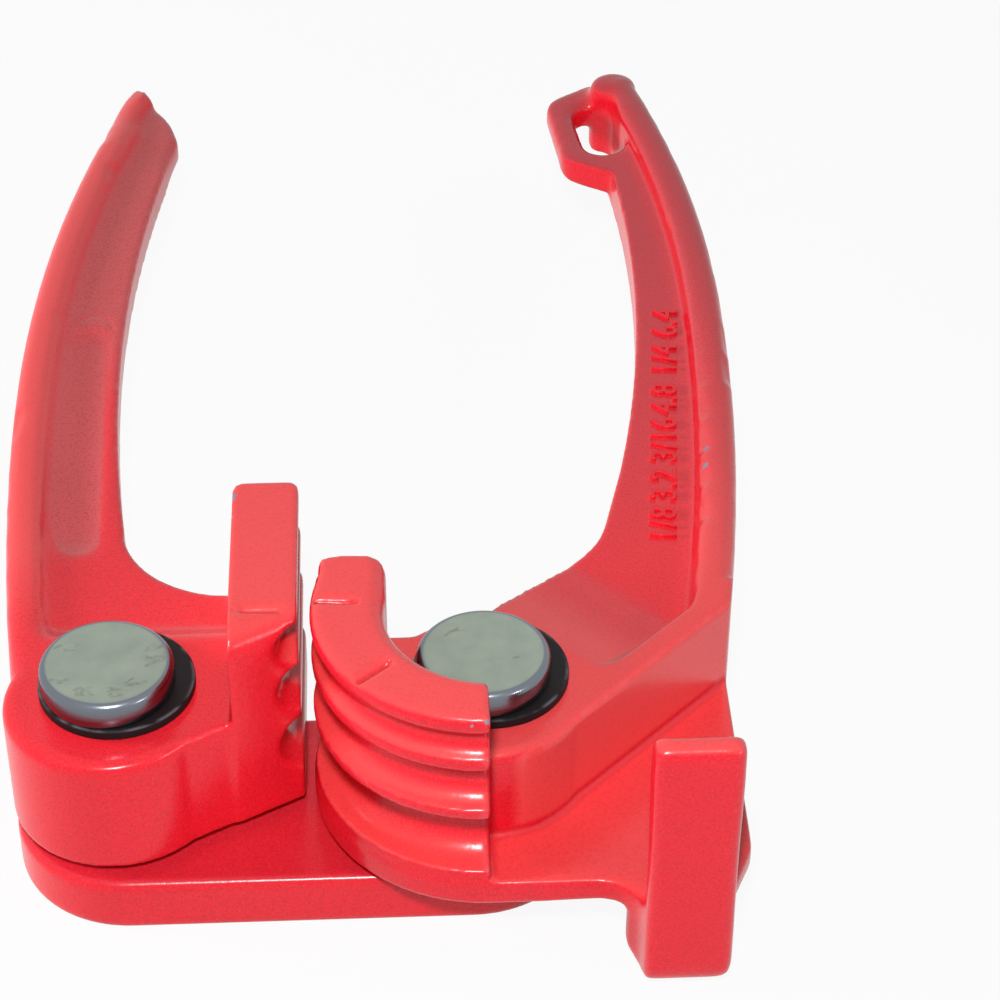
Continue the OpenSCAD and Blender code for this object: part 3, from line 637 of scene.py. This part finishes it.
def red_paint():
    """Glossy red paint over a casting, with painted light and shade: level tops are drawn paler by a painted
    reflection, or duller by a painted dim reflection and deeper by painted shade, as its attributes say; a
    fine orange peel, small dark and pale specks, painted shade in inner corners, a paler rub on edges that is
    partly rubbed paint and partly a painted edge highlight, and grey primer where a chip is marked."""
    f = Finish("red_paint")
    level = f.ranged(f.upward(), 0.35, 0.95)
    # Painted reflection: level tops, as the pale attribute says, and the gleaming wall are drawn paler, as if
    # they mirrored bright surroundings
    painted_reflection = f.maths("MAXIMUM", f.times(level, f.attribute("pale")), f.attribute("gleam"))
    # Painted dim reflection and painted shade: level places towards the former's tip, and in and past the
    # shoe's recess, are drawn duller and greyer
    painted_dim_reflection = f.times(level, f.attribute("dull"))
    # Painted shade: the plate's top and level places towards the former's tip are drawn deeper red
    painted_shade_top = f.times(level, f.attribute("deep"))
    pale_specks = f.times(f.ranged(f.noise(5200.0, 1.0), 0.52, 0.70), 0.22)
    dark_share = f.ranged(painted_reflection, 0.0, 1.0, 0.42, 0.14)
    dark_specks = f.times(f.ranged(f.noise(3600.0, 1.0), 0.50, 0.66), dark_share)
    edge = f.attribute("edge")
    # Painted shade in inner corners, where the skin bends inward, scaled by an attribute on each casting
    painted_corner_shade = f.times(f.ranged(edge, -0.05, -0.5), f.attribute("corner_shade_share"))
    # Outer edges drawn paler: partly rubbed paint, partly a painted edge highlight
    rub = f.times(f.ranged(edge, 0.3, 0.8), f.ranged(f.noise(900.0, 3.0), 0.42, 0.6))
    ragged_chip = f.maths("ADD", f.attribute("chip"), f.times(f.noise(2600.0, 3.0), 1.1))
    chip = f.ranged(ragged_chip, 1.12, 1.2)
    colour = f.mixed(painted_reflection, RED, PAINTED_REFLECTION_RED)
    colour = f.mixed(painted_dim_reflection, colour, DIM_REFLECTION_RED)
    colour = f.mixed(painted_shade_top, colour, PAINTED_SHADE_RED)
    colour = f.mixed(pale_specks, colour, PALE_SPECK)
    colour = f.mixed(dark_specks, colour, DARK_SPECK)
    colour = f.mixed(f.times(painted_corner_shade, 0.5), colour, CORNER_SHADE_RED)
    colour = f.mixed(f.times(rub, 0.30), colour, RUBBED_AND_SHEEN_RED)
    colour = f.mixed(chip, colour, PRIMER)
    f.set(Base_Color=colour, Roughness=f.ranged(chip, 0.0, 1.0, 0.24, 0.55), Specular_IOR_Level=0.36)
    peel = f.maths("ADD", f.noise(1300.0, 2.0), f.times(chip, -0.8))
    f.bump(peel, 0.05, 0.40)
    return f.material


def zinc():
    """Zinc plate on the pins: matt grey-green on the flat top, darker and bluer on the turned rim, brownish
    in the scuffs."""
    f = Finish("zinc")
    rim = f.attribute("rim")
    scuff = f.times(f.attribute("mark"), f.ranged(f.noise(1500.0, 3.0), 0.35, 0.65, 0.0, 0.5))
    colour = f.mixed(f.noise(420.0, 4.0), ZINC_LOW, ZINC_HIGH)
    colour = f.mixed(rim, colour, ZINC_RIM)
    colour = f.mixed(scuff, colour, ZINC_SCUFF)
    f.set(Base_Color=colour, Roughness=f.ranged(rim, 0.0, 1.0, 0.60, 0.24), Metallic=1.0)
    f.bump(f.noise(1600.0, 3.0), 0.03, 0.35)
    return f.material


def black_steel():
    """Black oxide on the washers, rubbed bright along the outer rim."""
    f = Finish("black_steel")
    rub = f.times(f.attribute("edge"), f.ranged(f.noise(500.0, 2.0), 0.40, 0.65))
    f.set(Base_Color=f.mixed(f.times(rub, 0.3), OXIDE, BARE_STEEL), Roughness=0.5, Specular_IOR_Level=0.12)
    return f.material


# Places of wear, softer edges, marks and numbers

# Chips in the paint: place and radius
PLATE_CHIPS = [((-24.0, -10.9, 5.6), 0.6)]
FORMER_CHIPS = [
    ((17.4, -15.9, 29.9), 0.6), ((15.9, -16.1, 29.5), 0.42), ((17.5, -16.0, 11.5), 0.8),
    ((17.5, -16.6, 10.0), 0.6), ((12.0, -17.2, 9.9), 0.8), ((42.4, 36.0, 19.4), 0.7),
    ((42.1, 33.2, 19.4), 0.8), ((37.6, 104.5, 17.0), 1.2), ((36.0, 110.0, 16.8), 1.0),
]
SHOE_CHIPS = [((-6.0, 16.6, 30.2), 0.9), ((-6.2, 13.5, 30.2), 0.6), ((-24.6, -6.0, 9.5), 0.6)]

# Softer places: place, radius and rounds. The hook post's low end, top and two front edges, the eye's outer
# side, the handle's tip, and the bend of its rib near the hub
FORMER_SOFT = [
    ((35.8, -20.0, 2.0), 7.0, 30), ((35.8, -20.0, 30.6), 5.5, 22), ((31.6, -20.5, 14.0), 12.0, 24),
    ((40.0, -20.5, 14.0), 12.0, 24), ((30.5, 104.0, 15.5), 9.0, 40), ((36.0, 110.0, 17.0), 7.0, 30),
    ((41.1, 29.2, 19.5), 3.5, 10), ((40.6, 23.8, 19.5), 3.5, 10),
]
# The tip of the handle's rib, the tip's inner side, two places where the handle meets the hub, and both ends
# of the finger recess
SHOE_SOFT = [
    ((-23.2, 104.4, 18.8), 6.0, 90), ((-17.5, 100.0, 17.0), 6.0, 30), ((-24.0, 8.0, 20.0), 6.0, 40),
    ((-11.0, 8.0, 20.0), 9.0, 30), ((-22.4, 23.0, 18.2), 4.5, 40), ((-23.9, 61.4, 18.2), 3.5, 8),
]

# Moved places: place, radius and step. The corner of the former's far end, and the shoe handle's tip
FORMER_SHIFTS = [((3.2, 7.6, 29.0), 4.0, (-1.3, 0.2, 0.0))]
SHOE_SHIFTS = [((-24.0, 107.5, 16.5), 8.0, (-1.0, 0.0, 0.0))]

# Pressed marks: places and depth. The angle marks on the former's and the shoe's tops, and the far end of the
# finger recess
LIP_TOP = 30.2
RECESS_FLOOR = 18.3
FORMER_MARKS = [
    ([(6.03, 0.81, LIP_TOP), (2.04, 1.09, LIP_TOP)], 0.26),
    ([(8.85, -7.61, LIP_TOP), (5.83, -10.23, LIP_TOP)], 0.26),
]
SHOE_MARKS = [
    ([(-1.2, 0.0, LIP_TOP), (-5.5, 0.0, LIP_TOP)], 0.13),
    ([(-21.0, 62.0, RECESS_FLOOR), (-21.3, 63.3, RECESS_FLOOR), (-22.0, 64.4, RECESS_FLOOR),
      (-23.0, 64.8, RECESS_FLOOR), (-24.0, 64.5, RECESS_FLOOR), (-24.8, 63.7, RECESS_FLOOR),
      (-25.3, 62.4, RECESS_FLOOR)], 0.10),
]

# Pipe sizes in inches and millimetres, and each one's share of the line that they stand on
NUMBERS = [("1/8", 0.05), ("3.2", 0.21), ("3/16", 0.40), ("4.8", 0.58), ("1/4", 0.76), ("6.4", 0.93)]

# Scuffed places on the pins' heads, from the pivot: x, y and number of strokes
FORMER_PIN_SCUFFS = [(-2.5, 3.0, 2), (3.0, -1.0, 1)]
SHOE_PIN_SCUFFS = [
    (4.6, 0.6, 6), (-3.9, 2.2, 3), (-4.3, -2.6, 2), (-1.9, -3.7, 6),
    (1.2, -3.9, 6), (2.6, -2.9, 3), (4.7, 1.9, 2),
]


def scuffs(rng, places, lean):
    """Strokes of a scuffed top: each place gets short lines of random shift, length, angle and width."""
    strokes = []
    for x, y, number in places:
        for _ in range(number):
            dx, dy = rng.normal(0, 0.35, 2)
            length = rng.uniform(0.5, 1.8)
            angle = lean + rng.uniform(-0.5, 0.5)
            width = rng.uniform(0.14, 0.30)
            strokes.append((x + dx, y + dy, length, angle, width))
    return strokes


# The object

painted = [
    casting("link_plate", "link", plate_shade, chips=PLATE_CHIPS),
    casting("former_handle", "former_lever", former_shade, fill=4, soft=FORMER_SOFT, shifts=FORMER_SHIFTS,
            marks=FORMER_MARKS, chips=FORMER_CHIPS),
    casting("shoe_handle", "shoe_lever", shoe_shade, fill=12, soft=SHOE_SOFT, shifts=SHOE_SHIFTS,
            marks=SHOE_MARKS, chips=SHOE_CHIPS),
    cast_numbers(NUMBERS, height=2.8, start=(37.0, 24.0), stop=(40.8, 64.5), base=17.5, rise=0.35),
]
scuff_rng = np.random.default_rng(7)
plated = [
    pin("former_pin", PIVOTS["former_pivot"], scuffs(scuff_rng, FORMER_PIN_SCUFFS, 0.4)),
    pin("shoe_pin", PIVOTS["shoe_pivot"], scuffs(scuff_rng, SHOE_PIN_SCUFFS, 0.3)),
]
blackened = [washer(f"{lever}_{place}_washer") for lever in ("former", "shoe") for place in ("top", "thrust")]
for pieces, material in ((painted, red_paint()), (plated, zinc()), (blackened, black_steel())):
    for piece in pieces:
        piece.data.materials.append(material)


# Stage, light and camera

def seen_share(tree, share):
    """A share that counts for rays from the camera, from gloss and through glass, and is 0 for all others."""
    path = tree.nodes.new("ShaderNodeLightPath")
    total = path.outputs["Is Camera Ray"]
    for kind in ("Is Glossy Ray", "Is Transmission Ray"):
        larger = tree.nodes.new("ShaderNodeMath")
        larger.operation = "MAXIMUM"
        tree.links.new(total, larger.inputs[0])
        tree.links.new(path.outputs[kind], larger.inputs[1])
        total = larger.outputs[0]
    times = tree.nodes.new("ShaderNodeMath")
    times.operation = "MULTIPLY"
    times.inputs[1].default_value = share
    tree.links.new(total, times.inputs[0])
    return times.outputs[0]


def floor_sheet(half, depth, grey, seen):
    """A flat pale floor just under the plate. Seen straight on or in a reflection it is nearly white, and it
    keeps the soft shadow."""
    corners = [(-half, -half), (half, -half), (half, half), (-half, half)]
    mesh = bpy.data.meshes.new("floor")
    mesh.from_pydata([(x * MM, y * MM, -depth * MM) for x, y in corners], [], [(0, 1, 2, 3)])
    piece = linked("floor", mesh)
    material = bpy.data.materials.new("floor")
    material.use_nodes = True
    tree = material.node_tree
    tree.nodes.clear()
    out = tree.nodes.new("ShaderNodeOutputMaterial")
    dull = tree.nodes.new("ShaderNodeBsdfDiffuse")
    dull.inputs["Color"].default_value = (grey, grey, grey, 1)
    white = tree.nodes.new("ShaderNodeEmission")
    mix = tree.nodes.new("ShaderNodeMixShader")
    tree.links.new(seen_share(tree, seen), mix.inputs[0])
    tree.links.new(dull.outputs[0], mix.inputs[1])
    tree.links.new(white.outputs[0], mix.inputs[2])
    tree.links.new(mix.outputs[0], out.inputs["Surface"])
    mesh.materials.append(material)


def sky(level):
    """An even pale sky: it lights the object at a given level, and is white where it is seen or reflected."""
    world = bpy.data.worlds.new("sky")
    scene.world = world
    world.use_nodes = True
    tree = world.node_tree
    ground = tree.nodes["Background"]
    ground.inputs["Color"].default_value = (1, 1, 1, 1)
    lift = tree.nodes.new("ShaderNodeMath")
    lift.operation = "ADD"
    tree.links.new(seen_share(tree, 1 - level), lift.inputs[0])
    lift.inputs[1].default_value = level
    tree.links.new(lift.outputs[0], ground.inputs["Strength"])


def soft_box(name, at, aim, size, power, mirrored=True):
    """A round lamp that faces a place. One that isn't mirrored lights the object but leaves no glint."""
    lamp = bpy.data.lights.new(name, "AREA")
    lamp.shape = "DISK"
    lamp.size = size * MM
    lamp.energy = power
    piece = linked(name, lamp)
    piece.location = Vector(at) * MM
    piece.rotation_euler = (Vector(aim) - Vector(at)).to_track_quat("-Z", "Y").to_euler()
    piece.visible_glossy = mirrored


def photo_camera(place, pitch, turn, roll, focal):
    """The photograph's camera: its place, and its axes from a downward pitch, a turn to +X and a roll."""
    pitch, turn, roll = (math.radians(angle) for angle in (pitch, turn, roll))
    look = Vector((math.sin(turn) * math.cos(pitch), math.cos(turn) * math.cos(pitch), -math.sin(pitch)))
    side = Vector((math.cos(turn), -math.sin(turn), 0))
    up = side.cross(look)
    right = math.cos(roll) * side + math.sin(roll) * up
    top = -math.sin(roll) * side + math.cos(roll) * up
    lens = bpy.data.cameras.new("photo_camera")
    lens.sensor_width = 36
    lens.lens = focal
    lens.clip_start = 10 * MM
    camera = linked("photo_camera", lens)
    camera.matrix_world = Matrix((
        (right.x, top.x, -look.x, place[0] * MM),
        (right.y, top.y, -look.y, place[1] * MM),
        (right.z, top.z, -look.z, place[2] * MM),
        (0, 0, 0, 1)))
    scene.camera = camera


floor_sheet(half=3000, depth=0.02, grey=0.68, seen=0.93)
sky(level=0.08)
soft_box("flash", at=(0, -190, 262), aim=(0, 25, 10), size=34, power=0.85)
soft_box("left_light", at=(-330, 60, 110), aim=(0, 40, 15), size=120, power=0.90, mirrored=False)
soft_box("right_light", at=(230, -170, 130), aim=(25, -5, 12), size=50, power=0.11)
photo_camera(place=(9.516, -202.856, 203.992), pitch=38.552, turn=2.704, roll=0.184, focal=104.26)
scene.view_settings.view_transform = "Standard"
